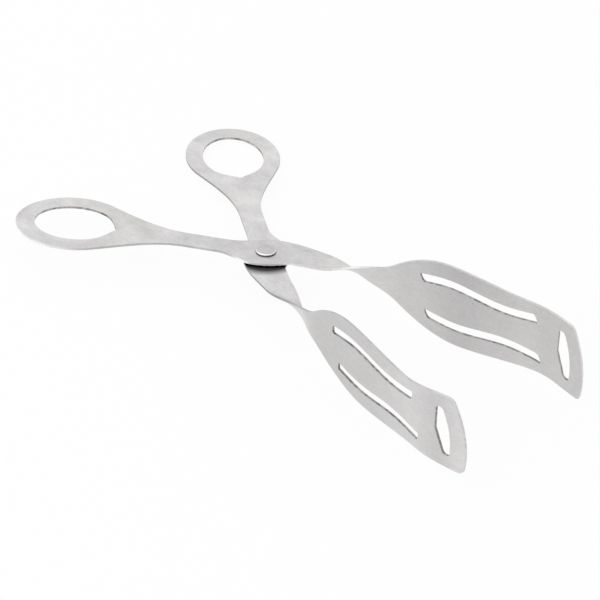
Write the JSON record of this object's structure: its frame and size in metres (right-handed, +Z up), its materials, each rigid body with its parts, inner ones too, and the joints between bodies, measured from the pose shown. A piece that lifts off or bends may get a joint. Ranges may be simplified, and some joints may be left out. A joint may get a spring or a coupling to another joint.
{
  "type": "serving tongs",
  "caption": "Scissor-action serving tongs of stainless sheet: finger-loop handles crossing at a rivet, twisted necks and broad upright slotted blades with inward-bent tips.",
  "frame": {"origin": "on the table, under the middle of the open tongs' box", "axes": "+X from the finger loops to the blades, +Z up"},
  "size_m": [0.2421, 0.134, 0.046],
  "materials": {
    "arm_steel": "tumbled satin stainless steel",
    "rivet_steel": "polished satin stainless steel",
    "washer_steel": "plain stainless steel"
  },
  "bodies": {
    "lower_half": {"lower_arm": "arm_steel", "pivot_rivet": "rivet_steel", "spacer_washer": "washer_steel"},
    "upper_half": {"upper_arm": "arm_steel"}
  },
  "joints": [
    {"name": "scissor_pivot", "type": "hinge", "parent": "lower_half", "child": "upper_half", "pos_m": [-0.02742, 0.00032, 0.01442], "axis": [-0.0843, 0.0918, 0.9922], "range_deg": [-25, 94]}
  ]
}
